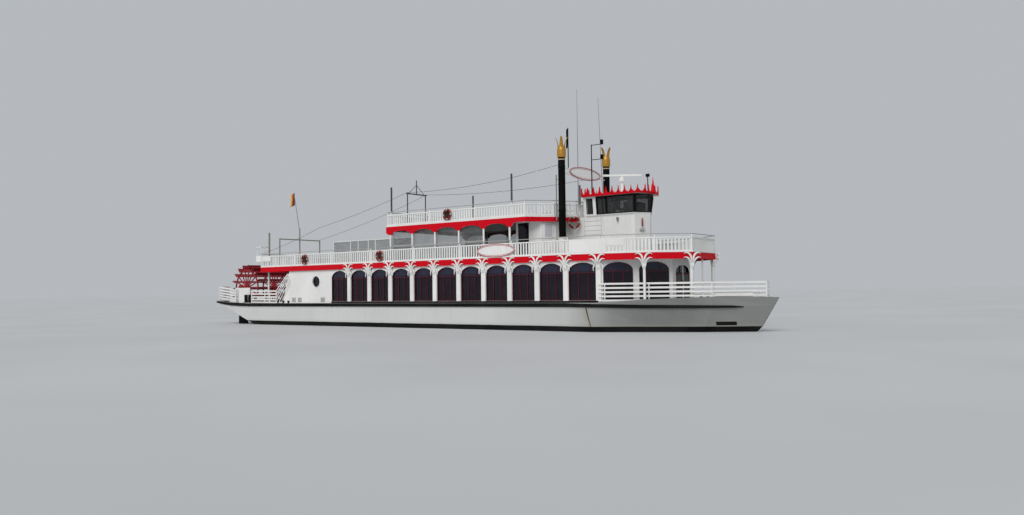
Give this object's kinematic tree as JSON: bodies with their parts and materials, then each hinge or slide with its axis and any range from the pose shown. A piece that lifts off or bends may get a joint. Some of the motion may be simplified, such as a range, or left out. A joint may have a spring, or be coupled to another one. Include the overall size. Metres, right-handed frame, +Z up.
{
  "type": "stern-wheel paddle steamer, half-size scale model",
  "caption": "Passenger river boat with glazed saloon, railed upper and sun decks, wheelhouse, paired crowned funnels and a red paddle wheel at the stern.",
  "frame": {"origin": "centre of the bounding box at the flat bottom of the hull", "axes": "+X towards the bow, +Y to port, +Z up"},
  "size_m": [22.13, 4.184, 8],
  "materials": {
    "white_paint": "satin",
    "hull_paint": "satin",
    "red_paint": "satin",
    "wheel_paint": "weathered satin",
    "black_paint": "satin",
    "bronze": "worn",
    "dark_glass": "tinted",
    "clear_sheet": "clear",
    "steel": "satin",
    "timber": "varnished",
    "cloth": "matt",
    "ring_plastic": "matt"
  },
  "bodies": {
    "boat": {"bow_bulwark": "hull_paint", "bow_rail": "white_paint", "cabin_walls": "white_paint", "ensign": "cloth", "ensign_staff": "white_paint", "funnel_name_board": "white_paint", "funnel_port": "black_paint", "funnel_starboard": "black_paint", "helm_station": "black_paint", "hull": "hull_paint", "life_ring_fore_port": "ring_plastic", "life_ring_fore_starboard": "ring_plastic", "life_ring_quarter_port": "ring_plastic", "life_ring_quarter_starboard": "ring_plastic", "life_ring_sun_deck_port": "ring_plastic", "life_ring_sun_deck_starboard": "ring_plastic", "life_ring_waist_port": "ring_plastic", "life_ring_waist_starboard": "ring_plastic", "light_mast": "steel", "radar_pedestal": "white_paint", "saloon_glass_front": "dark_glass", "saloon_glass_port": "dark_glass", "saloon_glass_starboard": "dark_glass", "saloon_tables": "timber", "saloon_walls": "white_paint", "search_light": "black_paint", "side_name_board_port": "white_paint", "side_name_board_starboard": "white_paint", "signal_mast": "steel", "stern_locker": "white_paint", "stern_pole": "timber", "stern_rail_port": "white_paint", "stern_rail_starboard": "white_paint", "sun_deck": "red_paint", "sun_rail": "white_paint", "upper_deck": "red_paint", "upper_rail": "white_paint", "veranda_screen_port": "clear_sheet", "veranda_screen_starboard": "clear_sheet", "wheel_bearing_port": "wheel_paint", "wheel_bearing_starboard": "wheel_paint", "wheelhouse_glass": "dark_glass", "wheelhouse_roof": "red_paint", "wheelhouse_walls": "white_paint", "whip_antenna_aft": "steel", "whip_antenna_fore": "steel", "wind_screen_frame": "white_paint", "wind_screen_glass": "clear_sheet"},
    "paddle_wheel": {"paddle_wheel": "wheel_paint"},
    "screw_starboard": {"screw_starboard": "bronze"},
    "screw_port": {"screw_port": "bronze"},
    "rudder_starboard": {"rudder_starboard": "black_paint"},
    "rudder_port": {"rudder_port": "black_paint"},
    "radar_scanner": {"radar_scanner": "white_paint"},
    "saloon_door_front_starboard": {"saloon_door_front_starboard": "dark_glass"},
    "saloon_door_front_port": {"saloon_door_front_port": "dark_glass"},
    "saloon_door_aft": {"saloon_door_aft": "dark_glass"},
    "cabin_door_starboard": {"cabin_door_starboard": "dark_glass"},
    "cabin_door_port": {"cabin_door_port": "dark_glass"},
    "wheelhouse_door": {"wheelhouse_door": "white_paint"}
  },
  "joints": [
    {"name": "paddle_wheel_turn", "type": "hinge", "parent": "boat", "child": "paddle_wheel", "pos_m": [-10.13, 0, 2], "axis": [0, 1, 0], "continuous": true},
    {"name": "screw_starboard_turn", "type": "hinge", "parent": "boat", "child": "screw_starboard", "pos_m": [-9.23, -1.7, 0.37], "axis": [1, 0, 0], "continuous": true},
    {"name": "screw_port_turn", "type": "hinge", "parent": "boat", "child": "screw_port", "pos_m": [-9.23, 1.7, 0.37], "axis": [1, 0, 0], "continuous": true},
    {"name": "rudder_starboard_steer", "type": "hinge", "parent": "boat", "child": "rudder_starboard", "pos_m": [-9.73, -1.7, 0.5], "axis": [0, 0, 1], "range_deg": [-35, 35]},
    {"name": "rudder_port_steer", "type": "hinge", "parent": "boat", "child": "rudder_port", "pos_m": [-9.73, 1.7, 0.5], "axis": [0, 0, 1], "range_deg": [-35, 35]},
    {"name": "radar_scanner_turn", "type": "hinge", "parent": "boat", "child": "radar_scanner", "pos_m": [6.395, 0, 5.125], "axis": [0, 0, 1], "continuous": true},
    {"name": "saloon_door_front_starboard_swing", "type": "hinge", "parent": "boat", "child": "saloon_door_front_starboard", "pos_m": [8.305, -0.4246, 1.8], "axis": [0, 0, -1], "range_deg": [0, 100]},
    {"name": "saloon_door_front_port_swing", "type": "hinge", "parent": "boat", "child": "saloon_door_front_port", "pos_m": [8.305, 0.4246, 1.8], "axis": [0, 0, 1], "range_deg": [0, 100]},
    {"name": "saloon_door_aft_swing", "type": "hinge", "parent": "boat", "child": "saloon_door_aft", "pos_m": [-6.555, -0.2496, 1.9], "axis": [0, 0, 1], "range_deg": [0, 100]},
    {"name": "cabin_door_starboard_swing", "type": "hinge", "parent": "boat", "child": "cabin_door_starboard", "pos_m": [4.0246, -1.5, 3.3], "axis": [0, 0, 1], "range_deg": [0, 100]},
    {"name": "cabin_door_port_swing", "type": "hinge", "parent": "boat", "child": "cabin_door_port", "pos_m": [4.0246, 1.5, 3.3], "axis": [0, 0, -1], "range_deg": [0, 100]},
    {"name": "wheelhouse_door_swing", "type": "hinge", "parent": "boat", "child": "wheelhouse_door", "pos_m": [5.41, -0.1746, 4.2], "axis": [0, 0, -1], "range_deg": [0, 90]}
  ],
  "couplings": [
    {"joint": "rudder_port_steer", "follows": "rudder_starboard_steer", "ratio": 1}
  ]
}
